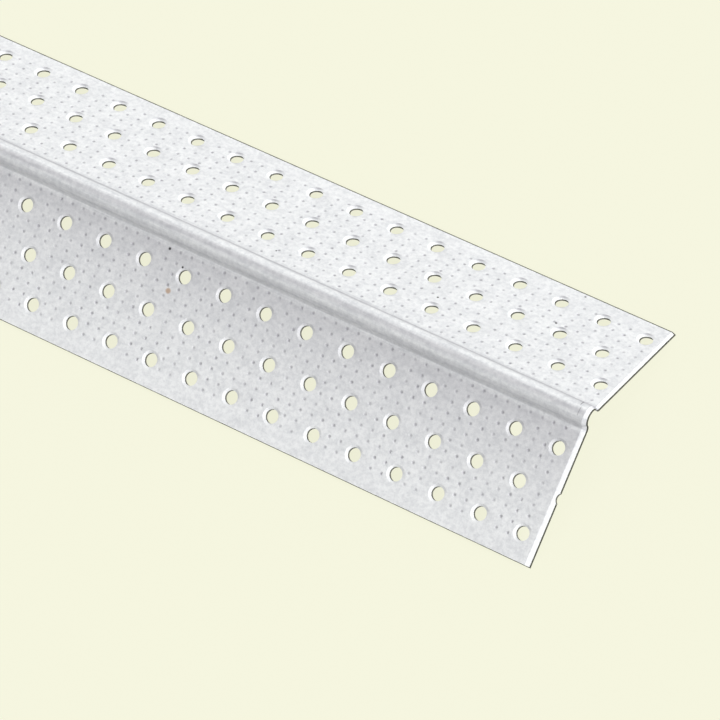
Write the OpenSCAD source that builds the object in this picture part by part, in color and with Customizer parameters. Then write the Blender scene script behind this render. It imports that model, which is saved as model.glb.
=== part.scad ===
// Perforated sheet-metal corner bead for plasterboard, one length of roll-formed stock.
// It lies nose up on its two free edges: X runs along its length with the near end at +X,
// Z is up, and the origin is the middle of its footprint. All sizes are in millimetres.

/* [Stock] */
// Length that the stock is cut to
bead_length = 1219; // [300:1:1829]
// Thickness of the galvanised sheet
sheet_t = 0.5; // [0.3:0.05:1]
// Angle between the two flanges, measured inside
corner_angle = 126; // [100:1:150]
// Width of each flange, from the corner of the outer faces to its free edge
flange_w = 31.75; // [26:0.25:45]

/* [Nose] */
// Outside radius of the rounded nose
nose_r = 2.2; // [1.8:0.05:3]
// How far the nose stands over the corner of the outer faces
nose_rise = 1.75; // [1.2:0.05:2]
// How far the nose sits towards the back flange from the middle, or less than 0 towards the front one
nose_shift = -0.7; // [-1:0.05:1]
// Radius of the crease between the nose and a flange
neck_r = 0.8; // [0.3:0.05:1.5]
// How deep the crease is pressed into the nose and the flange, which leaves a crisp line there
crease_bite = 0.02; // [0.01:0.01:0.05]

/* [Nail holes] */
// Diameter of each nail hole
hole_d = 2.85; // [2:0.05:4]
// Spacing of the holes along a row
hole_pitch = 9.5; // [6:0.1:20]
// Rows of holes in each flange
row_count = 3; // [2:1:4]
// From the corner of the outer faces to the first row
first_row = 8.65; // [6:0.05:12]
// From the last row to the flange's free edge
edge_gap = 5.5; // [3:0.1:8]
// From the cut end to the back flange's first hole beside the nose
back_end_gap = 3.6; // [2.5:0.05:6]
// From the cut end to the front flange's first hole beside the nose
front_end_gap = 4.05; // [2.5:0.05:6]

/* [Hidden] */
$fn = 48;

// Half of the corner's angle: each flange leans this far from upright
lean = corner_angle / 2;
// Directions in section, Y across and Z up: down along a flange, and out of its outer face
down_flange = [sin(lean), -cos(lean)];
out_of_face = [cos(lean), sin(lean)];
// Height of the corner of the outer faces, with the flanges' lower edges on the ground
corner_z = flange_w * cos(lean) + sheet_t * sin(lean);
// Centre of the nose, over the corner of the outer faces
nose_z = nose_rise - nose_r;
// Height of the crease's centre over the flange's outer face
crease_h = neck_r - crease_bite;
// Spacing of the rows across a flange
row_gap = (flange_w - first_row - edge_gap) / (row_count - 1);
// How far the cutting shapes reach past what they cut
past = 10;

// A point of the section's back side and its mirror image on the front side
function on_side(side, point) = [side * point[0], point[1]];

// Distance of a crease's centre down its flange, where it is as deep in the nose as in the flange.
// The side is 1 for the back flange and -1 for the front one.
function crease_s(side) =
    let (
        nose_y = side * nose_shift,
        foot = nose_y * sin(lean) - nose_z * cos(lean),
        lift = nose_y * cos(lean) + nose_z * sin(lean)
    )
    foot + sqrt(pow(nose_r + crease_h, 2) - pow(crease_h - lift, 2));

// Centre of a crease in section
function crease_centre(side) =
    on_side(side, crease_s(side) * down_flange + crease_h * out_of_face);

// All that lies under one side of the sheet, in section, with the corner of the outer faces at
// its origin: under the outer side for inset 0, under the inner side for inset sheet_t.
// The flanks reach the given distance down the flanges and end square to them.
module under_sheet(inset, reach) {
    ridge = [0, -inset / sin(lean)];
    edge = reach * down_flange - inset * out_of_face;
    heel = edge - 2 * sheet_t * out_of_face;
    under_crease = crease_h - 2 * neck_r - inset;
    back_foot = crease_s(1) * down_flange + under_crease * out_of_face;
    front_foot = crease_s(-1) * down_flange + under_crease * out_of_face;
    difference() {
        union() {
            translate([nose_shift, nose_z]) circle(r = nose_r - inset);
            polygon([ridge, on_side(-1, edge), on_side(-1, heel), heel, edge]);
            polygon([[nose_shift, nose_z], crease_centre(-1), on_side(-1, front_foot),
                [0, nose_z - 2 * nose_r], back_foot, crease_centre(1)]);
        }
        for (side = [-1, 1]) translate(crease_centre(side)) circle(r = neck_r + inset);
    }
}

// The folded sheet in section
module sheet_section() {
    difference() {
        under_sheet(0, flange_w);
        under_sheet(sheet_t, flange_w + past);
    }
}

// The nail holes of one flange, square to it, from the given distance behind the cut end.
// Every second row is shifted by half a pitch, in the direction given.
module flange_holes(end_gap, shift) {
    rotate([lean - 90, 0, 0])
    for (i = [0:row_count - 1])
        for (along = [end_gap + (i % 2) * shift * hole_pitch / 2:hole_pitch:bead_length - end_gap])
            translate([-along, first_row + i * row_gap, -2 * sheet_t])
                cylinder(d = hole_d, h = 4 * sheet_t);
}

// The strip of sheet, folded to the bead's section and punched
module corner_bead() {
    color("gainsboro")
    translate([bead_length / 2, 0, corner_z])
    difference() {
        translate([-bead_length, 0, 0])
            rotate([90, 0, 90]) linear_extrude(height = bead_length) sheet_section();
        flange_holes(back_end_gap, 1);
        mirror([0, 1, 0]) flange_holes(front_end_gap, -1);
    }
}

corner_bead();
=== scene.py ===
"""Looks of a perforated corner bead of galvanised sheet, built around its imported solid.

The bead is one folded strip. It is shown as three pieces that meet in flat sheet: the nose with
its two creases, and the two flanges. A flange is laid out flat first, in places (along, across,
height): along from the near cut end, across from the corner line of the outer faces, and height
over the outer face. It is then folded to its angle. All lengths are in metres.
"""
import math
from dataclasses import dataclass, replace
from functools import cached_property
from typing import NamedTuple

import bpy
import numpy as np
from bpy.props import FloatProperty, FloatVectorProperty, IntProperty, PointerProperty
from bpy.types import Operator, Panel, PropertyGroup
from mathutils import Matrix, Vector
from mathutils.geometry import delaunay_2d_cdt


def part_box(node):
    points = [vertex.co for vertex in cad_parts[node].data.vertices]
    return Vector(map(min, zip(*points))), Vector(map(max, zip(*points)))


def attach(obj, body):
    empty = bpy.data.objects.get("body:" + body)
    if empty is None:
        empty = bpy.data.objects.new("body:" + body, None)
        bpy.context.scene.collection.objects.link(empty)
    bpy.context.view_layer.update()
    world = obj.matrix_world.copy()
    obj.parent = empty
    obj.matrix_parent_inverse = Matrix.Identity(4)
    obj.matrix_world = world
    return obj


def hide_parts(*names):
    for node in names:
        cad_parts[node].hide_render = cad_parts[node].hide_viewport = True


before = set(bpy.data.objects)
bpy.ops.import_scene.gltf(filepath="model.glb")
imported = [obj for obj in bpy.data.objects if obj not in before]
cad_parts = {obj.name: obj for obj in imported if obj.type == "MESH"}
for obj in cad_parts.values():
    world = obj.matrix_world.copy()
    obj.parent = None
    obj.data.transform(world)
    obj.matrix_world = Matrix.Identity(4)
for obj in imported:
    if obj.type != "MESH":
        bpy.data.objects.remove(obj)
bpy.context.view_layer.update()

bl_info = {
    "name": "Corner Bead Looks",
    "version": (1, 0, 0),
    "blender": (4, 5, 0),
    "location": "View3D > Sidebar > Corner Bead",
    "description": "Builds the detailed nose and flanges of a perforated corner bead",
    "category": "Object",
}

# The solid that the pieces stand for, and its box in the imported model
NODE = "corner_bead"
BODY = "root"
SOLID_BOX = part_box(NODE)

# The flanges, with the way that each leans from the nose: towards +Y or towards -Y
SIDES = {"back": 1, "front": -1}

# Corners of a round hole, of a dimple and of the nose's and creases' arcs
HOLE_CORNERS = 24
DIMPLE_CORNERS = 6
NOSE_STEPS = 44
CREASE_STEPS = 14

# Share of the rim's depth that is the same all round a hole, and the way along and across each
# flange to the side that trails as the strip runs, where the rest is
EVEN_RIM = 0.55
TRAILING = {"back": (0.95, -0.3), "front": (0.9, -0.43)}
# Closest that a dimple comes to a rim, in dimple radii
DIMPLE_ROOM = 1.32
# Points along each edge where two stretches of a flange meet
SEAM_POINTS = 12
# Hole pitches in the stretch that repeats, and columns of dimples in it
STRETCH_PITCHES = 3
STRETCH_COLUMNS = 11
# Stretches of a flange, and strips of the nose, in one row of the flat maps that finishes are drawn on
MAP_STRETCHES = 12
NOSE_MAP_STRIPS = 6
# How far the bump under a dimple spreads, in dimple radii
SWELL_SPREAD = 1.3
# Seed of the dimples' uneven depths, and the shares of the full depth between which they lie
DIMPLE_SEED = 11
DIMPLE_DEPTHS = (0.55, 1.15)
# Triangles that lie less deep in a dimple than this at all corners are shaded smooth
SMOOTH_PRESS = 0.3
# Flat places closer than this are one point, and how far one may be off an edge that it lies on
SAME_PLACE = 1e-7
ON_EDGE = 10 * SAME_PLACE
# Faces that meet at more than this angle keep a sharp edge
SHARP_ANGLE = math.radians(9)
# How dark the painted shade in the crease on each side of the nose is at shares of its arc, from the
# flange to the nose
CREASE_SHARES = (0.0, 0.1, 0.3, 0.7, 1.0)
CREASE_SHADE = {"back": (0.2, 0.5, 0.7, 0.7, 0.7), "front": (0.0, 0.2, 0.34, 0.14, 0.1)}
# Turns over the nose between which the painted shade of a crease fades, in degrees
CREASE_FADE = (55, 33)
# How dark the shadow painted beside a hole is, and on which side of the hole, along and across the
# flange
RIM_SHADOW_SHADE = {"back": 0.95, "front": 0.0}
RIM_SHADOW_SIDE = (0.28, 0.96)
# Width that the painted shadow fades over, and the points that bound it, on an arc of so many radians
# each way
RIM_SHADOW_WIDTH = 0.00036
RIM_SHADOW_POINTS = 7
RIM_SHADOW_ARC = 0.75
# How fast the painted shadow fades round the hole
RIM_SHADOW_POWER = 9
# Most of the painted shade grey that a dimple, a crease or the shadow beside a hole takes on
PAINTED_SHADE_MOST = 0.8
# Dark specks and rust stains: flange, place along and across it, radius
SPECKS = (
    ("back", 0.0198, 0.0307, 0.00024), ("back", 0.0201, 0.0199, 0.0003),
    ("back", 0.0425, 0.0125, 0.00028), ("back", 0.0754, 0.0054, 0.00022),
    ("front", 0.0907, 0.0070, 0.00028), ("front", 0.0948, 0.0047, 0.00036),
)
STAINS = (("front", 0.0917, 0.0124, 0.0007),)
STAIN_SHARE = 0.7
# Scratches across the nose: place along it, and turn in degrees where each begins and ends
SCRATCHES = ((0.0027, 24, 76), (0.0023, 76, 134))
SCRATCH_WIDTH = 0.00017
SCRATCH_DEPTH = 2 * SCRATCH_WIDTH
# Share of a mark's radius over which it fades
MARK_FADE = 0.45
# Turns over the nose where the painted shade begins, is full, is still full and is down to what is left,
# in degrees
SHADE_TURNS = (79, 101, 111, 130)
SHADE_LEFT = 0.2
# From the corner line to where the painted shade sets in again on the front side, and to where it is
# full
SHADE_AGAIN = (0.0034, 0.0047)
# How fast the painted shade fades over the front flange
SHADE_POWER = 1.7
# Where each sun-like lamp shines from, and how wide it looks from the bead in degrees
LAMPS = {
    "key": ((0.9, 0.1, 0.42), 30),
    "back": ((0.1, 0.85, 0.52), 40),
    "front": ((0, -0.6, 0.8), 60),
}
# Half of the floor's width, and the room between the free edges and the floor
FLOOR_HALF = 6.0
FLOOR_GAP = 0.00005
# Width of the camera's sensor in millimetres, and the closest that it sees
SENSOR = 36
CLIP_START = 0.01
# Material slots of a piece
ZINC = 0
CUT = 1
# A mix node's sockets for its share and its two colours, and for the colour that comes of them
MIX_INPUTS = (0, 6, 7)
MIX_OUTPUT = 2


class Noise(NamedTuple):
    """A noise on a face: its scale and detail, the values between which it shows, and its stretch."""

    scale: float
    detail: float
    low: float
    high: float
    stretch: tuple = (1, 1, 1)


# What dulls the zinc, with how strongly it does: blotches, mottling, roll marks and fine grain
BLOTCHES = Noise(330, 3, 0.42, 0.62)
BLOTCH_SHARE = 0.3
MOTTLING = Noise(1200, 3, 0.4, 0.64)
MOTTLING_SHARE = 0.6
ROLL_MARKS = Noise(1500, 3, 0.4, 0.66, (0.06, 1, 1))
ROLL_MARK_SHARE = {"galvanised_zinc": 0.15, "rubbed_zinc": 0.6}
GRAIN = Noise(3200, 2, 0.35, 0.7)
GRAIN_SHARE = 0.35
# Strength and depth of the bumps that the grain makes
GRAIN_BUMP = 0.25
GRAIN_DEPTH = 0.00002
# Sheen of the zinc: where it is rougher, how rough it is, and how metallic
SHEEN = Noise(240, 3, 0.3, 0.7)
ZINC_ROUGHNESS = (0.6, 0.74)
ZINC_METALLIC = 0.06
ZINC_SPECULAR = 0.08
# Streaks across a cut with how much brighter they are, and the sheen of the cut steel
CUT_STREAKS = Noise(3000, 2, 0.3, 0.7, (1, 1, 0.2))
CUT_STREAK_GAIN = 1.7
CUT_SHEEN = Noise(2000, 2, 0.3, 0.7)
CUT_ROUGHNESS = (0.5, 0.7)
CUT_METALLIC = 0.2


class BeadSizes(PropertyGroup):
    """Sizes of the folded and punched strip."""

    length: FloatProperty(
        name="Length", description="Length that the stock is cut to",
        default=SOLID_BOX[1].x - SOLID_BOX[0].x, unit="LENGTH", precision=5)
    sheet: FloatProperty(
        name="Sheet thickness", description="Thickness of the galvanised sheet",
        default=0.0005, unit="LENGTH", precision=5)
    lean: FloatProperty(
        name="Lean", description="How far each flange leans from upright",
        default=math.radians(63), subtype="ANGLE")
    flange: FloatProperty(
        name="Flange width", description="From the corner line to a flange's free edge",
        default=0.03175, unit="LENGTH", precision=5)
    nose_radius: FloatProperty(
        name="Nose radius", description="Outside radius of the rounded nose",
        default=0.0022, unit="LENGTH", precision=5)
    nose_rise: FloatProperty(
        name="Nose rise", description="How far the nose stands over the corner line",
        default=0.001745, unit="LENGTH", precision=5)
    nose_shift: FloatProperty(
        name="Nose shift", description="How far the nose sits from the middle, towards the back flange",
        default=-0.0007, unit="LENGTH", precision=5)
    crease_radius: FloatProperty(
        name="Crease radius", description="Radius of the crease between nose and flange",
        default=0.0008, unit="LENGTH", precision=5)
    back_joint: FloatProperty(
        name="Back joint", description="From the corner line to where nose and back flange meet",
        default=0.0028, unit="LENGTH", precision=5)
    front_joint: FloatProperty(
        name="Front joint", description="From the corner line to where nose and front flange meet",
        default=0.0041, unit="LENGTH", precision=5)
    hole: FloatProperty(
        name="Hole diameter", description="Diameter of each nail hole",
        default=0.00285, unit="LENGTH", precision=5)
    pitch: FloatProperty(
        name="Hole pitch", description="Spacing of the holes along a row",
        default=0.0095, unit="LENGTH", precision=5)
    rows: IntProperty(
        name="Rows", description="Rows of holes in each flange", default=3, min=2)
    first_row: FloatProperty(
        name="First row", description="From the corner line to the first row of holes",
        default=0.00865, unit="LENGTH", precision=5)
    edge_gap: FloatProperty(
        name="Edge gap", description="From the last row of holes to the free edge",
        default=0.0055, unit="LENGTH", precision=5)
    back_end_gap: FloatProperty(
        name="Back end gap", description="From the near cut end to the back flange's first hole",
        default=0.0036, unit="LENGTH", precision=5)
    front_end_gap: FloatProperty(
        name="Front end gap", description="From the near cut end to the front flange's first hole",
        default=0.00405, unit="LENGTH", precision=5)
    rim_width: FloatProperty(
        name="Rim width", description="Width of the rim that the punch draws down round a hole",
        default=0.00052, unit="LENGTH", precision=5)
    rim_drop: FloatProperty(
        name="Rim drop", description="How far a hole's rim is drawn down at most",
        default=0.0003, unit="LENGTH", precision=5)
    back_burnish: FloatProperty(
        name="Back burnish", description="Share of a back hole's wall that the punch leaves bright",
        default=0.32, min=0, max=1, subtype="FACTOR")
    front_burnish: FloatProperty(
        name="Front burnish", description="Share of a front hole's wall that the punch leaves bright",
        default=0.14, min=0, max=1, subtype="FACTOR")
    back_slant: FloatProperty(
        name="Back slant", description="How far the back flange's holes lean to the near end",
        default=0.00038, unit="LENGTH", precision=5)
    front_slant: FloatProperty(
        name="Front slant", description="How far the front flange's holes lean to the near end",
        default=0.00028, unit="LENGTH", precision=5)
    back_roll: FloatProperty(
        name="Back end roll",
        description="Width of the back flange that the shear rolls down at a cut end",
        default=0.00082, unit="LENGTH", precision=5)
    front_roll: FloatProperty(
        name="Front end roll",
        description="Width of the front flange that the shear rolls down at a cut end",
        default=0.00118, unit="LENGTH", precision=5)
    end_drop: FloatProperty(
        name="End drop", description="How far a cut end is rolled down",
        default=0.00044, unit="LENGTH", precision=5)
    # Partly painted shade: the outer face's strip along a cut end is painted near-black, as bare steel
    # and as the dark shadow line at the end
    end_dark_strip: FloatProperty(
        name="Bare end", description="Width of the bare steel along a cut end",
        default=0.00027, unit="LENGTH", precision=5)
    # Partly painted shade: the outer face's strips along the free edges are painted near-black, as bare
    # steel and as the dark shadow line along each edge
    back_dark_edge: FloatProperty(
        name="Back edge", description="Width of the bare steel along the back flange's free edge",
        default=0.00032, unit="LENGTH", precision=5)
    front_dark_edge: FloatProperty(
        name="Front edge", description="Width of the bare steel along the front flange's free edge",
        default=0.00018, unit="LENGTH", precision=5)
    back_slit_drop: FloatProperty(
        name="Back edge drop", description="How far the slitter rolls the back flange's free edge down",
        default=0.00006, unit="LENGTH", precision=5)
    front_slit_drop: FloatProperty(
        name="Front edge drop", description="How far the slitter slants the front flange's free edge",
        default=0.00042, unit="LENGTH", precision=5)
    back_dimple_row: FloatProperty(
        name="Back dimples", description="From the corner line to the back flange's first dimples",
        default=0.0035, unit="LENGTH", precision=5)
    front_dimple_row: FloatProperty(
        name="Front dimples", description="From the corner line to the front flange's first dimples",
        default=0.00458, unit="LENGTH", precision=5)
    last_dimple_row: FloatProperty(
        name="Last dimples", description="From the corner line to the last row of dimples",
        default=0.0273, unit="LENGTH", precision=5)
    back_dimple_phase: FloatProperty(
        name="Back phase", description="Place of the back flange's dimple columns, in column spacings",
        default=0.68)
    front_dimple_phase: FloatProperty(
        name="Front phase", description="Place of the front flange's dimple columns, in column spacings",
        default=0.15)
    dimple_rows: IntProperty(
        name="Dimple rows", description="Rows of dimples in each flange", default=11, min=1)
    dimple_radius: FloatProperty(
        name="Dimple radius", description="Radius of a pressed dimple",
        default=0.00048, unit="LENGTH", precision=5)
    dimple_depth: FloatProperty(
        name="Dimple depth", description="Depth of a pressed dimple",
        default=0.0001, unit="LENGTH", precision=5)
    swell: FloatProperty(
        name="Swell", description="Height of the bump that a dimple leaves on the inner face",
        default=0.0001, unit="LENGTH", precision=5)


class BeadFinish(PropertyGroup):
    """Colours of the sheet."""

    zinc: FloatVectorProperty(
        name="Zinc", description="Bright galvanised face", subtype="COLOR",
        default=(0.91, 0.92, 0.93), min=0, max=1)
    dulling: FloatVectorProperty(
        name="Dulling", description="What duller patches keep of the face's colour", subtype="COLOR",
        default=(0.80, 0.805, 0.82), min=0, max=1)
    # Painted shade: the darker zinc in front of the nose's top and down the front flange beside the nose
    shaded_zinc: FloatVectorProperty(
        name="Worn zinc", description="Front face beside the nose, rubbed by the forming rolls",
        subtype="COLOR", default=(0.67, 0.67, 0.69), min=0, max=1)
    # Painted shade: the grey laid into dimple bottoms, creases and beside holes, where shade falls
    painted_shade_grey: FloatVectorProperty(
        name="Dimple bottom", description="Grey bottom of the dimples", subtype="COLOR",
        default=(0.33, 0.325, 0.36), min=0, max=1)
    # Bare steel of the cut edges and hole walls; on the strips along the free edges and cut ends it also
    # paints the dark shadow line there
    cut_steel: FloatVectorProperty(
        name="Cut steel", description="Bare steel of the cut edges and hole walls", subtype="COLOR",
        default=(0.05, 0.05, 0.04), min=0, max=1)
    speck: FloatVectorProperty(
        name="Speck", description="Dark specks and scratches on the face", subtype="COLOR",
        default=(0.06, 0.06, 0.065), min=0, max=1)
    stain: FloatVectorProperty(
        name="Stain", description="Small rust stains on the face", subtype="COLOR",
        default=(0.45, 0.27, 0.14), min=0, max=1)


class BeadStage(PropertyGroup):
    """Floor, light and camera."""

    floor: FloatVectorProperty(
        name="Floor", description="Colour of the plain pale floor", subtype="COLOR",
        default=(0.913, 0.913, 0.723), min=0, max=1)
    floor_matt: FloatVectorProperty(
        name="Floor bounce", description="Colour of the light that the floor casts back",
        subtype="COLOR", default=(0.5, 0.5, 0.5), min=0, max=1)
    floor_glow: FloatProperty(
        name="Floor evenness", description="Share of the floor's colour that shadows leave alone",
        default=0.85, min=0, max=1, subtype="FACTOR")
    floor_light: FloatProperty(
        name="Floor light", description="How bright the floor's own colour is to the camera",
        default=1.08, min=0)
    key: FloatProperty(
        name="Key light", description="Strength of the soft key light", default=3.45, min=0)
    back: FloatProperty(
        name="Back light", description="Strength of the soft light from behind", default=0.57, min=0)
    front: FloatProperty(
        name="Front light", description="Strength of the soft light from in front", default=0.57, min=0)
    fill: FloatProperty(
        name="Fill light", description="Strength of the light from all round", default=0.37, min=0)
    fill_tint: FloatVectorProperty(
        name="Fill tint", description="Colour of the light from all round", subtype="COLOR",
        default=(1.0, 1.0, 1.0), min=0, max=1)
    aim_along: FloatProperty(
        name="Aim along", description="From the near end to the place that the camera aims at",
        default=0.04658, unit="LENGTH", precision=5)
    aim_across: FloatProperty(
        name="Aim across", description="From the corner line to the place that the camera aims at",
        default=-0.00971, unit="LENGTH", precision=5)
    azimuth: FloatProperty(
        name="Camera azimuth", description="Direction of the camera round the near end",
        default=math.radians(-41.564), subtype="ANGLE")
    elevation: FloatProperty(
        name="Camera elevation", description="Height of the camera over the horizon",
        default=math.radians(59.464), subtype="ANGLE")
    roll: FloatProperty(
        name="Camera roll", description="Turn of the camera about its own axis",
        default=math.radians(-19.602), subtype="ANGLE")
    distance: FloatProperty(
        name="Camera distance", description="From the camera to the corner line's height",
        default=0.90067, unit="LENGTH", precision=5)
    lens: FloatProperty(
        name="Focal length", description="Focal length on a 36 mm sensor", default=234.8,
        unit="CAMERA")


def corner_height(sizes):
    """Height of the corner line of the outer faces, with the free edges on the floor."""
    return sizes.flange * math.cos(sizes.lean) + sizes.sheet * math.sin(sizes.lean)


def own(sizes, side, name):
    """A size that the two flanges have each for itself."""
    return getattr(sizes, f"{side}_{name}")


def first_seam(sizes, side):
    """Where a flange's repeating stretches begin, midway between two columns of holes."""
    return own(sizes, side, "end_gap") + sizes.pitch / 4


def hole_spots(sizes, side):
    """Centres of a flange's nail holes. Every second row is shifted by half a pitch."""
    row_gap = (sizes.flange - sizes.first_row - sizes.edge_gap) / (sizes.rows - 1)
    end_gap = own(sizes, side, "end_gap")
    spots = []
    for row in range(sizes.rows):
        first = end_gap + (row % 2) * SIDES[side] * sizes.pitch / 2
        along = np.arange(first, sizes.length - end_gap, sizes.pitch)
        spots.append(np.c_[along, np.full(len(along), sizes.first_row + row * row_gap)])
    return np.vstack(spots)


def dimple_spots(sizes, side, start, stop, holes):
    """Centres of the dimples between two places along a flange, clear of hole rims and cut ends."""
    gap = STRETCH_PITCHES * sizes.pitch / STRETCH_COLUMNS
    order = np.arange(-STRETCH_COLUMNS, sizes.length / gap)
    columns = first_seam(sizes, side) + (order + own(sizes, side, "dimple_phase")) * gap
    clear = own(sizes, side, "roll") + sizes.dimple_radius
    inside = (columns > max(start, clear)) & (columns < min(stop, sizes.length - clear))
    rows = np.linspace(own(sizes, side, "dimple_row"), sizes.last_dimple_row, sizes.dimple_rows)
    spots = np.array([(along, across) for along in columns[inside] for across in rows])
    room = sizes.hole / 2 + sizes.rim_width + DIMPLE_ROOM * sizes.dimple_radius
    return spots[nearest(spots, holes)[0] > room]


def nearest(places, spots):
    """Distance from each flat place to the nearest spot, and which spot that is."""
    if len(spots) == 0:
        return np.full(len(places), np.inf), np.zeros(len(places), int)
    distance = np.hypot(*(places[:, None, :2] - spots[None]).transpose(2, 0, 1))
    return distance.min(1), distance.argmin(1)


def ring(centre, radius, corners):
    """Corners of a circle."""
    turns = np.arange(corners) * 2 * math.pi / corners
    return centre + radius * np.c_[np.cos(turns), np.sin(turns)]


class Layout:
    """Points and fixed edges on a flat sheet, to be joined up by triangles."""

    def __init__(self, start):
        self.origin = np.array((start, 0))
        self.points = []
        self.edges = []

    def line(self, places, closed=False):
        """Adds places with an edge from each to the next, and from the last to the first if closed."""
        first = len(self.points)
        self.points += [Vector(place - self.origin) for place in places]
        last = len(self.points) - 1
        self.edges += [(i, i + 1) for i in range(first, last)]
        if closed:
            self.edges.append((last, first))

    def triangles(self):
        """Places and triangles of the whole layout."""
        places, _, faces, *_ = delaunay_2d_cdt(self.points, self.edges, [], 0, SAME_PLACE)
        return np.array([place[:] for place in places], float) + self.origin, np.array(faces)


def rolled(distance, width, drop):
    """How far the sheet is drawn down at a distance from a punched or sheared edge."""
    return drop * np.clip(1 - distance / width, 0, 1)


def rim_sunk(sizes, side, places, holes):
    """How far the punch draws the sheet down at each place, deeper on a hole's trailing side."""
    distance, which = nearest(places, holes)
    trailing = (places - holes[which]) @ TRAILING[side] / distance
    drop = sizes.rim_drop * (EVEN_RIM + (1 - EVEN_RIM) * trailing)
    return rolled(distance - sizes.hole / 2, sizes.rim_width, drop)


def drawn_down(sizes, side, places, holes):
    """How far the punch, the shear and the slitter draw the sheet down at each place."""
    end_distance = np.minimum(places[:, 0], sizes.length - places[:, 0])
    edge_distance = sizes.flange - places[:, 1]
    return np.maximum.reduce([
        rim_sunk(sizes, side, places, holes),
        rolled(end_distance, own(sizes, side, "roll"), sizes.end_drop),
        rolled(edge_distance, own(sizes, side, "dark_edge"), own(sizes, side, "slit_drop")),
    ])


def pressed(places, dimples, depths, radius):
    """How deep each place lies in a dimple, as a share of the full depth."""
    distance, which = nearest(places, dimples)
    return np.clip(1 - distance / radius, 0, 1) * depths[which]


def rim_shadow(sizes, places, holes):
    """1 where a shadow is painted beside a hole, on a rim's outline towards the free edge."""
    distance, which = nearest(places, holes)
    outline = abs(distance - sizes.hole / 2 - sizes.rim_width) < ON_EDGE
    return outline * np.clip((places - holes[which]) @ RIM_SHADOW_SIDE / distance, 0, 1) ** RIM_SHADOW_POWER


def on_hole_edge(sizes, places, holes):
    """Which flat places lie on the edge of a hole."""
    return nearest(places, holes)[0] < sizes.hole / 2 + ON_EDGE


def slanted(sizes, side, places, holes):
    """Inner face places with the holes' edges moved towards the near end."""
    moved = places.copy()
    moved[:, 0] -= own(sizes, side, "slant") * on_hole_edge(sizes, places, holes)
    moved[:, 0] = np.clip(moved[:, 0], 0, sizes.length)
    return moved


def open_edges(faces):
    """Edges that only one triangle has, in that triangle's order."""
    edges = np.vstack([faces[:, [0, 1]], faces[:, [1, 2]], faces[:, [2, 0]]])
    count = faces.max() + 1
    forward = edges[:, 0] * count + edges[:, 1]
    backward = edges[:, 1] * count + edges[:, 0]
    return edges[~np.isin(forward, backward)]


def outer_face(sizes, side, start, stop, holes, dimples):
    """Flat places and triangles of a flange's outer face between two places along it."""
    layout = Layout(start)
    joint = own(sizes, side, "joint")
    dark_edge = sizes.flange - own(sizes, side, "dark_edge")
    across = np.append(np.linspace(joint, dark_edge, SEAM_POINTS), sizes.flange)
    for along in (start, stop):
        layout.line([(along, place) for place in across])
    for place in (joint, dark_edge, sizes.flange):
        layout.line([(start, place), (stop, place)])
    for width in (sizes.end_dark_strip, own(sizes, side, "roll")):
        for along in (width, sizes.length - width):
            if start < along < stop:
                layout.line([(along, joint), (along, sizes.flange)])
    for hole in holes:
        for radius in (sizes.hole / 2, sizes.hole / 2 + sizes.rim_width):
            layout.line(ring(hole, radius, HOLE_CORNERS), closed=True)
        # Points that bound the shadow painted beside the hole
        if RIM_SHADOW_SHADE[side]:
            turns = math.atan2(*RIM_SHADOW_SIDE[::-1]) + np.linspace(-RIM_SHADOW_ARC, RIM_SHADOW_ARC, RIM_SHADOW_POINTS)
            reach = sizes.hole / 2 + sizes.rim_width + RIM_SHADOW_WIDTH
            layout.line(hole + reach * np.c_[np.cos(turns), np.sin(turns)])
    for dimple in dimples:
        layout.line(ring(dimple, sizes.dimple_radius, DIMPLE_CORNERS), closed=True)
        layout.line([dimple])
    return sheet_only(sizes, start, stop, holes, *layout.triangles())


def inner_face(sizes, start, stop, holes, dimples, outline):
    """Flat places and triangles of the inner face, inside the outline edges of the outer face."""
    layout = Layout(start)
    for edge in outline:
        layout.line(edge)
    for dimple in dimples:
        layout.line(ring(dimple, SWELL_SPREAD * sizes.dimple_radius, DIMPLE_CORNERS), closed=True)
        layout.line([dimple])
    return sheet_only(sizes, start, stop, holes, *layout.triangles())


def sheet_only(sizes, start, stop, holes, places, faces):
    """Keeps the triangles between two places along a flange and outside its holes."""
    middle = places[faces].mean(1)
    apothem = sizes.hole / 2 * math.cos(math.pi / HOLE_CORNERS)
    kept = (middle[:, 0] > start) & (middle[:, 0] < stop) & (nearest(middle, holes)[0] > apothem)
    used, renumbered = np.unique(faces[kept], return_inverse=True)
    return places[used], renumbered.reshape(-1, 3)


@dataclass
class Patch:
    """A mesh of triangles with what its finish needs.

    The chart gives each corner of each triangle a place on the flat map of the finish, smooth says
    which triangles are shaded smooth, and press is how far painted shade greys each
    place, in a dimple or beside a hole.
    """

    places: np.ndarray
    triangles: np.ndarray
    slots: np.ndarray
    chart: np.ndarray
    smooth: np.ndarray
    press: np.ndarray


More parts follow.
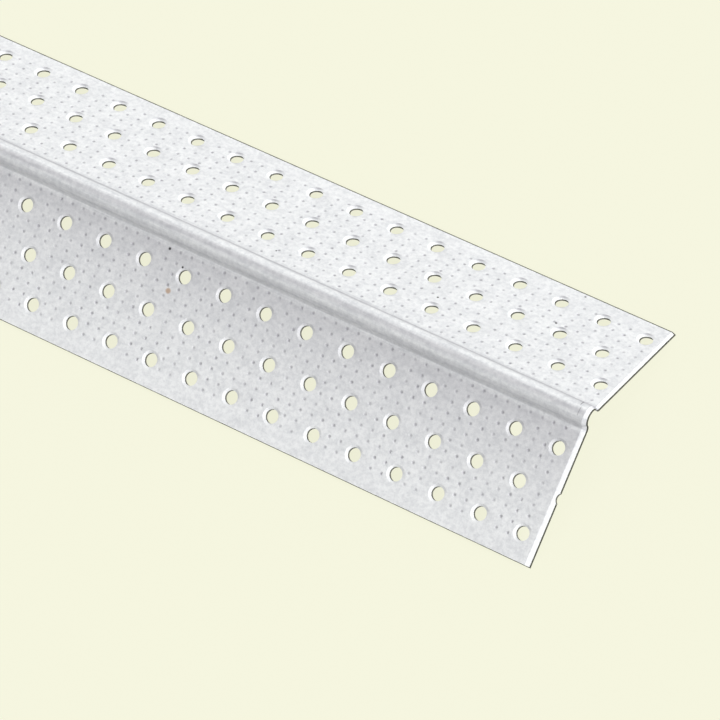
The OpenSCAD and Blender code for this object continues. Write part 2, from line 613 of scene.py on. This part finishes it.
def stretch(sizes, side, start, stop, all_holes, dimples, depths):
    """One stretch of a flange, laid out flat and closed but for its seams."""
    reach = sizes.hole / 2 + sizes.rim_width
    holes = all_holes[(all_holes[:, 0] > start - reach) & (all_holes[:, 0] < stop + reach)]
    flat, faces = outer_face(sizes, side, start, stop, holes, dimples)
    press = pressed(flat, dimples, depths, sizes.dimple_radius)
    outer = np.c_[flat, -drawn_down(sizes, side, flat, holes) - sizes.dimple_depth * press]

    rim = open_edges(faces)
    inner_flat, inner_faces = inner_face(sizes, start, stop, holes, dimples, flat[rim])
    swell = pressed(inner_flat, dimples, depths, SWELL_SPREAD * sizes.dimple_radius)
    inner = np.c_[slanted(sizes, side, inner_flat, holes), -sizes.sheet - sizes.swell * swell]
    inner_faces = inner_faces[:, ::-1] + len(outer)

    # The walls have two bands, which meet where the punch stops leaving them bright
    rim = without_seams(sizes, rim, flat, start, stop)
    used, numbers = np.unique(rim, return_inverse=True)
    under = same_places(flat[used], inner_flat)
    burnish = own(sizes, side, "burnish")
    parting = (1 - burnish) * outer[used] + burnish * inner[under]
    middle = len(outer) + len(inner) + numbers.reshape(-1, 2)
    bottom = len(outer) + under[numbers].reshape(-1, 2)
    triangles = np.vstack([faces, inner_faces, wall_band(rim, middle), wall_band(middle, bottom)])

    punched = on_hole_edge(sizes, flat, holes)[rim].all(1)
    # The strips along the cut ends and free edge are painted dark: partly bare steel, partly painted
    # shade
    slots = np.concatenate([
        np.where(dark_edge_strips(sizes, side, flat[faces].mean(1)), CUT, ZINC),
        np.full(len(inner_faces), ZINC),
        np.tile(np.where(punched, ZINC, CUT), 2),
        np.full(2 * len(rim), CUT),
    ])
    charted = np.vstack([flat, inner_flat]) - (start, own(sizes, side, "joint"))
    chart = stretch_chart(sizes, side, charted, faces, inner_faces, rim)
    unpressed = np.zeros(len(parting))
    smooth = (np.r_[press, swell, unpressed][triangles] < SMOOTH_PRESS).all(1)
    # Painted shade: the dimples' grey and the shadow painted beside the holes
    painted_shade_share = np.maximum(press, RIM_SHADOW_SHADE[side] * rim_shadow(sizes, flat, holes))
    shade = np.r_[painted_shade_share, np.zeros(len(inner)), unpressed]
    return Patch(np.vstack([outer, inner, parting]), triangles, slots, chart, smooth, shade)


def wall_band(high, low):
    """Two triangles under each of the high edges, down to the low ones."""
    return np.vstack([np.c_[high[:, 0], low], np.c_[high[:, 0], low[:, 1], high[:, 1]]])


def dark_edge_strips(sizes, side, places):
    """Which places on a flange's outer face are painted dark along its cut ends and free edge: partly
    bare steel, partly painted shade.
    """
    at_end = np.minimum(places[:, 0], sizes.length - places[:, 0]) < sizes.end_dark_strip
    return at_end | (places[:, 1] > sizes.flange - own(sizes, side, "dark_edge"))


def without_seams(sizes, rim, flat, start, stop):
    """The edges round a stretch, apart from those on a seam with the next stretch."""
    for place in (start, stop):
        if SAME_PLACE < place < sizes.length - SAME_PLACE:
            on_seam = abs(flat[:, 0] - place) < SAME_PLACE
            rim = rim[~on_seam[rim].all(1)]
    return rim


def grid_keys(places):
    """Places rounded to whole steps, so that equal ones can be told."""
    return np.round(places / ON_EDGE).astype(np.int64)


def same_places(places, others):
    """For each place, which of the others it coincides with."""
    number = {tuple(key): i for i, key in enumerate(grid_keys(others))}
    return np.array([number[tuple(key)] for key in grid_keys(places)])


def map_gap(sizes):
    """Room round the parts of a flat map, in which the walls are laid out too."""
    return 2 * sizes.sheet


def map_band(sizes):
    """Width of the band that one face of a flange takes up on the flat map."""
    return sizes.flange + 2 * map_gap(sizes)


def stretch_chart(sizes, side, flat, faces, inner_faces, rim):
    """Flat map of a stretch: the outer face, the inner face beside it, and each wall in its void."""
    first, last = flat[rim[:, 0]], flat[rim[:, 1]]
    edge = last - first
    void = np.c_[edge[:, 1], -edge[:, 0]] * (sizes.sheet / np.hypot(*edge.T))[:, None]
    walls = []
    burnish = own(sizes, side, "burnish")
    for high, low in ((0, burnish), (burnish, 1)):
        walls.append(np.stack([first + high * void, first + low * void, last + low * void], 1))
        walls.append(np.stack([first + high * void, last + low * void, last + high * void], 1))
    return np.vstack([flat[faces], flat[inner_faces] + (0, map_band(sizes)), *walls])


def flange_mesh(sizes, side):
    """A whole flange, laid out flat, as one patch."""
    holes = hole_spots(sizes, side)
    seam = first_seam(sizes, side)
    step = STRETCH_PITCHES * sizes.pitch
    repeats = int((sizes.length - seam) // step)
    draw = np.random.default_rng(DIMPLE_SEED + SIDES[side])
    gap = map_gap(sizes)
    chart_row = 2 * map_band(sizes)
    chart_rows = math.ceil((repeats + 2) / MAP_STRETCHES)
    chart_size = np.array([MAP_STRETCHES * step + 2 * gap, chart_rows * chart_row])

    stretches = []
    for start, stop, copies, spot in (
        (0, seam, 1, repeats),
        (seam, seam + step, repeats, 0),
        (seam + repeats * step, sizes.length, 1, repeats + 1),
    ):
        dimples = dimple_spots(sizes, side, start, stop, holes)
        depths = draw.uniform(*DIMPLE_DEPTHS, len(dimples))
        piece = stretch(sizes, side, start, stop, holes, dimples, depths)
        for copy in range(copies):
            row, column = divmod(spot + copy, MAP_STRETCHES)
            corner = (column * step + gap, row * chart_row + gap)
            stretches.append(replace(
                piece, places=piece.places + (copy * step, 0, 0),
                chart=(piece.chart + corner) / chart_size))
    return joined(stretches)


def joined(patches):
    """Several patches as one, with the places that coincide at their seams welded."""
    first = np.cumsum([0] + [len(patch.places) for patch in patches])
    places = np.vstack([patch.places for patch in patches])
    triangles = np.vstack([patch.triangles + start for patch, start in zip(patches, first)])
    keys = grid_keys(places)
    _, kept, number = np.unique(keys, axis=0, return_index=True, return_inverse=True)
    return Patch(
        places[kept], number.reshape(-1)[triangles],
        np.concatenate([patch.slots for patch in patches]),
        np.vstack([patch.chart for patch in patches]),
        np.concatenate([patch.smooth for patch in patches]),
        np.concatenate([patch.press for patch in patches])[kept])


def fold(sizes, side, places):
    """Moves flat places to the flange that leans to the given side."""
    along, across, height = places.T
    sine, cosine = math.sin(sizes.lean), math.cos(sizes.lean)
    return np.c_[
        sizes.length / 2 - along,
        SIDES[side] * (across * sine + height * cosine),
        corner_height(sizes) - across * cosine + height * sine,
    ]


def half_section(sizes, side):
    """Outer line of one half of the nose in section, from its joint with a flange to the top.

    Returns points and outward normals in (across, up) from the corner line, on the +Y side.
    """
    down = np.array([math.sin(sizes.lean), -math.cos(sizes.lean)])
    out = np.array([math.cos(sizes.lean), math.sin(sizes.lean)])
    centre = np.array([SIDES[side] * sizes.nose_shift, sizes.nose_rise - sizes.nose_radius])
    crease = sizes.crease_radius
    reach = sizes.nose_radius + crease
    foot = centre @ down + math.sqrt(reach ** 2 - (crease - centre @ out) ** 2)
    middle = foot * down + crease * out
    first, last = -out, (centre - middle) / reach
    turn = math.atan2(first[0] * last[1] - first[1] * last[0], first @ last)
    turns = math.atan2(first[1], first[0]) + turn * np.linspace(0, 1, CREASE_STEPS + 1)
    arc = np.c_[np.cos(turns), np.sin(turns)]
    start = math.atan2(-last[1], -last[0])
    sweep = np.linspace(start, math.pi / 2, NOSE_STEPS // 2 + 1)[1:]
    cap = np.c_[np.cos(sweep), np.sin(sweep)]
    points = np.vstack([
        own(sizes, side, "joint") * down, middle + crease * arc, centre + sizes.nose_radius * cap])
    return points, np.vstack([out, -arc, cap])


def nose_section(sizes):
    """Outer line of the nose and its creases in section, from the back joint to the front one."""
    points, normals = half_section(sizes, "back")
    front_points, front_normals = half_section(sizes, "front")
    mirror = np.array([SIDES["front"], 1])
    return (np.vstack([points, front_points[-2::-1] * mirror]),
            np.vstack([normals, front_normals[-2::-1] * mirror]))


def crease_shade(sizes):
    """How dark the painted shade at each point of the nose's outer line is: the creases are shaded, and
    the shade fades up the nose.
    """
    halves = []
    for side in SIDES:
        _, normals = half_section(sizes, side)
        turns = np.degrees(np.arctan2(normals[:, 1], normals[:, 0]))
        clear, dark = CREASE_FADE
        half = CREASE_SHADE[side][-1] * np.clip((clear - turns) / (clear - dark), 0, 1)
        half[0] = 0
        arc = np.linspace(0, 1, CREASE_STEPS + 1)
        half[1:CREASE_STEPS + 2] = np.interp(arc, CREASE_SHARES, CREASE_SHADE[side])
        halves.append(half)
    return np.r_[halves[0], halves[1][-2::-1]]


def nose_mesh(sizes):
    """Places, faces, slots, map and shade of the nose piece, swept along the bead."""
    points, normals = nose_section(sizes)
    count = len(points)
    roll = np.interp(points[:, 0], points[[-1, 0], 0], (sizes.front_roll, sizes.back_roll))
    near_end = np.stack([np.zeros(count), np.full(count, sizes.end_dark_strip), roll])
    step = STRETCH_PITCHES * sizes.pitch
    inside = np.arange(step, sizes.length - step / 2, step)
    along = np.vstack([near_end, inside[:, None] + np.zeros(count), sizes.length - near_end[::-1]])
    sunk = rolled(np.minimum(along, sizes.length - along), roll, sizes.end_drop)
    stations = along[:, 0]
    outer = points[None] - sunk[..., None] * normals[None]
    inner = np.broadcast_to(points - sizes.sheet * normals, outer.shape)
    section = np.concatenate([outer, inner[:, ::-1]], 1)
    around = section.shape[1]
    x = sizes.length / 2 - np.c_[along, along[:, ::-1]]
    places = np.c_[x.ravel(), section.reshape(-1, 2) + (0, corner_height(sizes))]

    strips = np.arange(len(stations) - 1)[:, None]
    here = np.arange(around)[None]
    after = (here + 1) % around
    sides = np.stack([
        strips * around + here, (strips + 1) * around + here,
        (strips + 1) * around + after, strips * around + after], -1).reshape(-1, 4)
    near_cap = np.array([(i, i + 1, around - 2 - i, around - 1 - i) for i in range(count - 1)])
    far_cap = near_cap[:, ::-1] + (len(stations) - 1) * around
    faces = np.vstack([sides, near_cap, far_cap])
    slots = np.repeat([ZINC, CUT], [len(sides), 2 * len(near_cap)])
    # The nose's strips along the cut ends are painted dark: partly bare steel, partly painted shade
    for strip in (0, len(strips) - 1):
        slots[strip * around:strip * around + count - 1] = CUT
    flat_caps = section.reshape(-1, 2) - points.min(0)
    chart = nose_chart(sizes, points, normals, stations, flat_caps[near_cap], flat_caps[far_cap])
    # Painted shade of the creases, the same at every station along the nose
    shade = np.tile(np.r_[crease_shade(sizes), np.zeros(count)], len(stations))
    return places, faces, slots, chart, shade


def nose_chart(sizes, points, normals, stations, near_cap, far_cap):
    """Flat map of the nose: its strips unrolled in rows, and the two cut ends past the last row."""
    gap = map_gap(sizes)
    loop = np.vstack([points, (points - sizes.sheet * normals)[::-1], points[:1]])
    travel = np.r_[0, np.cumsum(np.hypot(*np.diff(loop, axis=0).T))]
    strips = np.arange(len(stations) - 1)[:, None]
    here = np.arange(len(travel) - 1)[None]
    row = strips // NOSE_MAP_STRIPS
    lift = row * (travel[-1] + gap)
    begin = stations[row * NOSE_MAP_STRIPS]
    left, right = stations[strips] - begin, stations[strips + 1] - begin
    low, high = travel[here] + lift, travel[here + 1] + lift
    corners = ((left, low), (right, low), (right, high), (left, high))
    chart = np.stack([np.stack(np.broadcast_arrays(*corner), -1) for corner in corners], 2)
    past_rows = lift.max() + travel[-1] + gap
    past_near_cap = 4 * sizes.nose_radius + sizes.flange / 4
    margin = gap / 2
    chart = margin + np.vstack([
        chart.reshape(-1, 4, 2), near_cap + (0, past_rows), far_cap + (past_near_cap, past_rows)])
    return chart / (chart.max((0, 1)) + margin)


def new_piece(name, places, faces, slots, smooth, materials):
    """A mesh object in the part's frame, with sharp cut edges."""
    mesh = bpy.data.meshes.new(name)
    mesh.from_pydata(places, [], faces.tolist())
    if mesh.validate():
        raise RuntimeError(f"{name} has faulty faces")
    for material in materials:
        mesh.materials.append(material)
    mesh.polygons.foreach_set("material_index", slots.astype(np.int32))
    mesh.set_sharp_from_angle(angle=SHARP_ANGLE)
    mesh.polygons.foreach_set("use_smooth", smooth)
    piece = bpy.data.objects.new(name, mesh)
    bpy.context.scene.collection.objects.link(piece)
    return piece


def set_map(mesh, corners):
    """Gives every face corner its place on the flat map of the finish."""
    layer = mesh.uv_layers.new(name="OFBake")
    layer.uv.foreach_set("vector", corners.astype(np.float32).ravel())


def set_painted_shade(mesh, values):
    """Gives every place how far painted shade greys it in a dimple, a crease or beside a hole, which the
    finish shows.
    """
    mark = mesh.attributes.new("press", "FLOAT", "POINT")
    mark.data.foreach_set("value", values.astype(np.float32))


def seat(piece):
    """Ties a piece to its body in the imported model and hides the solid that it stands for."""
    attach(piece, BODY)
    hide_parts(NODE)


class Finish:
    """Nodes of a material or world, added by kind, with their inputs given by name."""

    def __init__(self, owner):
        owner.use_nodes = True
        self.owner = owner
        self.tree = owner.node_tree
        self.tree.nodes.clear()

    @cached_property
    def coords(self):
        """Places in the part's frame."""
        return self.add("ShaderNodeTexCoord").outputs["Object"]

    def add(self, kind, inputs=None, **settings):
        """A new node with its settings and inputs."""
        node = self.tree.nodes.new(kind)
        for name, value in settings.items():
            setattr(node, name, value)
        for name, value in (inputs or {}).items():
            self.put(node.inputs[name], value)
        return node

    def put(self, socket, value):
        """Links a socket to another one, or sets its value."""
        if isinstance(value, bpy.types.NodeSocket):
            self.tree.links.new(value, socket)
        else:
            socket.default_value = value

    def noise(self, kind, to_low=0.0, to_high=1.0):
        """A noise that is spread from the values between which it shows to the ones given."""
        at = self.add("ShaderNodeMapping", {"Vector": self.coords, "Scale": kind.stretch})
        node = self.add("ShaderNodeTexNoise", {
            "Vector": at.outputs["Vector"], "Scale": kind.scale, "Detail": kind.detail})
        return self.spread(node.outputs["Fac"], kind.low, kind.high, to_low, to_high)

    def spread(self, value, low, high, to_low=0.0, to_high=1.0):
        """A value that runs from to_low to to_high while the given one runs from low to high."""
        node = self.add("ShaderNodeMapRange", {
            "Value": value, "From Min": low, "From Max": high, "To Min": to_low, "To Max": to_high})
        return node.outputs["Result"]

    def worked_out(self, operation, *values):
        """What an operation of arithmetic makes of its values."""
        node = self.add("ShaderNodeMath", dict(enumerate(values)), operation=operation)
        return node.outputs["Value"]

    def times(self, first, second):
        """The product of two values."""
        return self.worked_out("MULTIPLY", first, second)

    def blend(self, share, first, second, kind="MIX"):
        """A colour with a share of a second colour in it."""
        inputs = dict(zip(MIX_INPUTS, (share, first, second)))
        node = self.add("ShaderNodeMix", inputs, data_type="RGBA", blend_type=kind)
        return node.outputs[MIX_OUTPUT]

    def blob(self, centre, radii, turn=0.0):
        """1 near the centre of an ellipsoid, fading to 0 at its surface. It is turned about X."""
        at = self.add("ShaderNodeMapping", {
            "Vector": self.coords, "Location": centre, "Rotation": (turn, 0, 0), "Scale": radii},
            vector_type="TEXTURE")
        ball = self.add("ShaderNodeTexGradient", {"Vector": at.outputs["Vector"]},
            gradient_type="SPHERICAL")
        return self.spread(ball.outputs["Fac"], 0.0, MARK_FADE)

    def in_sight(self):
        """1 for rays from the camera, and for those that it sees in metal or through glass."""
        path = self.add("ShaderNodeLightPath")
        seen = path.outputs["Is Camera Ray"]
        for name in ("Is Glossy Ray", "Is Transmission Ray"):
            seen = self.worked_out("MAXIMUM", seen, path.outputs[name])
        return seen

    def surface(self, **inputs):
        """The material with a shader that has the given inputs, with spaces in their names as _."""
        shader = self.add("ShaderNodeBsdfPrincipled")
        for name, value in inputs.items():
            self.put(shader.inputs[name.replace("_", " ")], value)
        output = self.add("ShaderNodeOutputMaterial")
        self.tree.links.new(shader.outputs["BSDF"], output.inputs["Surface"])
        return self.owner


def rgba(colour):
    """A colour property with full alpha."""
    return (*colour, 1.0)


def on_flange(sizes, side, along, across):
    """A place on a flange's outer face."""
    return fold(sizes, side, np.array([[along, across, 0.0]]))[0]


def on_nose(sizes, along, turn):
    """A place on the nose, with the turn from the back (0) over the top (90) to the front."""
    turn = math.radians(turn)
    return (
        sizes.length / 2 - along,
        sizes.nose_shift + sizes.nose_radius * math.cos(turn),
        corner_height(sizes) + sizes.nose_rise + sizes.nose_radius * (math.sin(turn) - 1))


def painted_front_shade(zinc, sizes):
    """How much painted shade darkens the zinc: in front of the nose's top, and down the front flange
    from its groove.
    """
    at = zinc.add("ShaderNodeSeparateXYZ", {"Vector": zinc.coords})
    across = at.outputs["Y"]
    begins, full, still_full, down = (on_nose(sizes, 0, turn)[1] for turn in SHADE_TURNS)
    crown = zinc.spread(across, begins, full)
    hollow = zinc.spread(across, still_full, down, 1.0, SHADE_LEFT)
    again = zinc.spread(across, *(on_flange(sizes, "front", 0, place)[1] for place in SHADE_AGAIN))
    painted_shade_share = zinc.worked_out("MAXIMUM", zinc.times(crown, hollow), again)
    beside = zinc.spread(across, -sizes.flange * math.sin(sizes.lean), -sizes.front_joint)
    fading = zinc.worked_out("POWER", beside, SHADE_POWER)
    unrolled = zinc.spread(
        zinc.worked_out("ABSOLUTE", at.outputs["X"]), sizes.length / 2 - sizes.front_roll,
        sizes.length / 2 - sizes.back_roll, 1.0, 0.0)
    return zinc.times(zinc.times(painted_shade_share, fading), unrolled)


def marks(zinc, sizes, finish):
    """Scratches, specks and stains, each as how much of a colour it lays over the zinc."""
    for along, *turns in SCRATCHES:
        first, last = (Vector(on_nose(sizes, along, turn)) for turn in turns)
        slope = math.atan2(last.z - first.z, last.y - first.y)
        radii = (SCRATCH_WIDTH, (last - first).length / 2, SCRATCH_DEPTH)
        yield zinc.blob((first + last) / 2, radii, slope), finish.speck
    for side, along, across, radius in SPECKS:
        yield zinc.blob(on_flange(sizes, side, along, across), (radius, radius, radius)), finish.speck
    for side, along, across, radius in STAINS:
        spot = zinc.blob(on_flange(sizes, side, along, across), (radius, radius, radius))
        yield zinc.times(spot, STAIN_SHARE), finish.stain


def zinc_face(scene, name):
    """Bright rolled zinc with duller patches, roll marks, specks and scratches, and painted shade in its
    dimples, creases, beside its holes and beside the nose.
    """
    sizes, finish = scene.bead_sizes, scene.bead_finish
    zinc = Finish(bpy.data.materials.new(name))
    # Painted shade darkens the zinc in front of the nose's top and down the front flange beside the nose
    colour = zinc.blend(painted_front_shade(zinc, sizes), rgba(finish.zinc), rgba(finish.shaded_zinc))
    grain = zinc.noise(GRAIN)
    for pattern, share in (
        (zinc.noise(BLOTCHES), BLOTCH_SHARE),
        (zinc.noise(MOTTLING), MOTTLING_SHARE),
        (zinc.noise(ROLL_MARKS), ROLL_MARK_SHARE[name]),
        (grain, GRAIN_SHARE),
    ):
        colour = zinc.blend(zinc.times(pattern, share), colour, rgba(finish.dulling), "MULTIPLY")
    # Painted shade: dimples, creases and the rims beside holes are greyed towards the painted shade grey
    press = zinc.add("ShaderNodeAttribute", attribute_name="press").outputs["Fac"]
    painted_grey = zinc.spread(press, 0.0, PAINTED_SHADE_MOST, 0.0, PAINTED_SHADE_MOST)
    colour = zinc.blend(painted_grey, colour, rgba(finish.painted_shade_grey))
    for share, shade in marks(zinc, sizes, finish):
        colour = zinc.blend(share, colour, rgba(shade))
    bump = zinc.add("ShaderNodeBump", {
        "Height": grain, "Strength": GRAIN_BUMP, "Distance": GRAIN_DEPTH})
    return zinc.surface(
        Base_Color=colour, Metallic=ZINC_METALLIC, Roughness=zinc.noise(SHEEN, *ZINC_ROUGHNESS),
        Specular_IOR_Level=ZINC_SPECULAR, Normal=bump.outputs["Normal"])


def cut_steel(finish):
    """Bare sheared steel streaked across the cut, dark enough that on the strips along the cut ends and
    free edges it also paints the shadow line there.
    """
    steel = Finish(bpy.data.materials.new("cut_steel"))
    streak = [CUT_STREAK_GAIN * part for part in finish.cut_steel]
    colour = steel.blend(steel.noise(CUT_STREAKS), rgba(finish.cut_steel), rgba(streak))
    return steel.surface(
        Base_Color=colour, Metallic=CUT_METALLIC, Roughness=steel.noise(CUT_SHEEN, *CUT_ROUGHNESS))


def finishes(scene, face):
    """A piece's two materials, in the order of its slots: its face and the cut edges."""
    zinc = bpy.data.materials.get(face) or zinc_face(scene, face)
    return zinc, bpy.data.materials.get("cut_steel") or cut_steel(scene.bead_finish)


class BEAD_OT_nose(Operator):
    """Build the rounded nose with its two creases"""

    bl_idname = "bead.nose"
    bl_label = "Build Nose"

    def execute(self, context):
        sizes = context.scene.bead_sizes
        places, faces, slots, chart, shade = nose_mesh(sizes)
        smooth = np.full(len(faces), True)
        piece = new_piece("nose", places, faces, slots, smooth, finishes(context.scene, "rubbed_zinc"))
        set_painted_shade(piece.data, shade)
        set_map(piece.data, chart)
        seat(piece)
        return {"FINISHED"}


class BEAD_OT_flanges(Operator):
    """Build the two perforated and dimpled flanges"""

    bl_idname = "bead.flanges"
    bl_label = "Build Flanges"

    def execute(self, context):
        sizes = context.scene.bead_sizes
        for side in SIDES:
            sheet = flange_mesh(sizes, side)
            # Folding to the back turns the faces over, so their corners run the other way
            order = slice(None, None, -SIDES[side])
            piece = new_piece(
                f"{side}_flange", fold(sizes, side, sheet.places), sheet.triangles[:, order],
                sheet.slots, sheet.smooth, finishes(context.scene, "galvanised_zinc"))
            set_painted_shade(piece.data, sheet.press)
            set_map(piece.data, sheet.chart[:, order])
            seat(piece)
        return {"FINISHED"}


class BEAD_OT_stage(Operator):
    """Lay the plain floor, light the bead and place the camera"""

    bl_idname = "bead.stage"
    bl_label = "Set Stage"

    def execute(self, context):
        stage = context.scene.bead_stage
        sizes = context.scene.bead_sizes
        lay_floor(stage)
        light(context.scene, stage)
        place_camera(context.scene, stage, sizes)
        context.scene.view_settings.view_transform = "Standard"
        return {"FINISHED"}


def lay_floor(stage):
    """A wide pale floor under the free edges, even in colour but for the bead's soft shadow."""
    mesh = bpy.data.meshes.new("floor")
    corners = [(FLOOR_HALF * x, FLOOR_HALF * y, 0) for x, y in ((-1, -1), (1, -1), (1, 1), (-1, 1))]
    mesh.from_pydata(corners, [], [(0, 1, 2, 3)])
    floor = bpy.data.objects.new("floor", mesh)
    floor.location.z = SOLID_BOX[0].z - FLOOR_GAP
    bpy.context.scene.collection.objects.link(floor)

    pale = Finish(bpy.data.materials.new("pale_floor"))
    lit = pale.add("ShaderNodeBsdfDiffuse", {"Color": rgba(stage.floor_matt)})
    even = pale.add("ShaderNodeEmission", {"Color": rgba(stage.floor), "Strength": stage.floor_light})
    mix = pale.add("ShaderNodeMixShader", {
        0: pale.times(pale.in_sight(), stage.floor_glow),
        1: lit.outputs["BSDF"], 2: even.outputs["Emission"]})
    pale.add("ShaderNodeOutputMaterial", {"Surface": mix.outputs["Shader"]})
    mesh.materials.append(pale.owner)


def sun(scene, name, energy, shines_from, width):
    """A wide, soft lamp that shines from the given direction."""
    lamp = bpy.data.lights.new(name, "SUN")
    lamp.energy = energy
    lamp.angle = math.radians(width)
    piece = bpy.data.objects.new(name, lamp)
    piece.rotation_mode = "QUATERNION"
    piece.rotation_quaternion = Vector(shines_from).to_track_quat("Z", "X")
    scene.collection.objects.link(piece)


def light(scene, stage):
    """Soft light from the near end, from behind and from in front, and even light from all round."""
    for name, (shines_from, width) in LAMPS.items():
        sun(scene, name, getattr(stage, name), shines_from, width)
    sky = Finish(bpy.data.worlds.new("studio"))
    fill = sky.add("ShaderNodeBackground", {"Color": rgba(stage.fill_tint), "Strength": stage.fill})
    # At a strength of 1 the background has the floor's own colour
    pale = sky.add("ShaderNodeBackground", {"Color": rgba(stage.floor), "Strength": 1.0})
    mix = sky.add("ShaderNodeMixShader", {
        0: sky.in_sight(), 1: fill.outputs["Background"], 2: pale.outputs["Background"]})
    sky.add("ShaderNodeOutputWorld", {"Surface": mix.outputs["Shader"]})
    scene.world = sky.owner


def place_camera(scene, stage, sizes):
    """The camera over the near end, rolled as the photograph is."""
    aim = Vector((sizes.length / 2 - stage.aim_along, stage.aim_across, corner_height(sizes)))
    turn = (
        Matrix.Rotation(math.pi / 2 + stage.azimuth, 4, "Z")
        @ Matrix.Rotation(math.pi / 2 - stage.elevation, 4, "X")
        @ Matrix.Rotation(stage.roll, 4, "Z"))
    lens = bpy.data.cameras.new("camera")
    lens.lens = stage.lens
    lens.sensor_width = SENSOR
    lens.clip_start = CLIP_START
    camera = bpy.data.objects.new("camera", lens)
    camera.matrix_world = Matrix.Translation(aim) @ turn @ Matrix.Translation((0, 0, stage.distance))
    scene.collection.objects.link(camera)
    scene.camera = camera


class BEAD_PT_panel(Panel):
    """Sizes, finish and stage of the corner bead, with a button for each step"""

    bl_idname = "BEAD_PT_panel"
    bl_label = "Corner Bead"
    bl_space_type = "VIEW_3D"
    bl_region_type = "UI"
    bl_category = "Corner Bead"

    def draw(self, context):
        for name, group in GROUPS.items():
            box = self.layout.box()
            for value in group.__annotations__:
                box.prop(getattr(context.scene, name), value)
        for step in STEPS:
            self.layout.operator(step.bl_idname)


STEPS = (BEAD_OT_nose, BEAD_OT_flanges, BEAD_OT_stage)
GROUPS = {"bead_sizes": BeadSizes, "bead_finish": BeadFinish, "bead_stage": BeadStage}


def register():
    for group in GROUPS.values():
        bpy.utils.register_class(group)
    for name, group in GROUPS.items():
        setattr(bpy.types.Scene, name, PointerProperty(type=group))
    for step in (*STEPS, BEAD_PT_panel):
        bpy.utils.register_class(step)


def unregister():
    for step in (BEAD_PT_panel, *reversed(STEPS)):
        bpy.utils.unregister_class(step)
    for name, group in reversed(GROUPS.items()):
        delattr(bpy.types.Scene, name)
        bpy.utils.unregister_class(group)


def main():
    register()
    bpy.ops.bead.nose()
    bpy.ops.bead.flanges()
    bpy.ops.bead.stage()


if __name__ == "__main__":
    main()
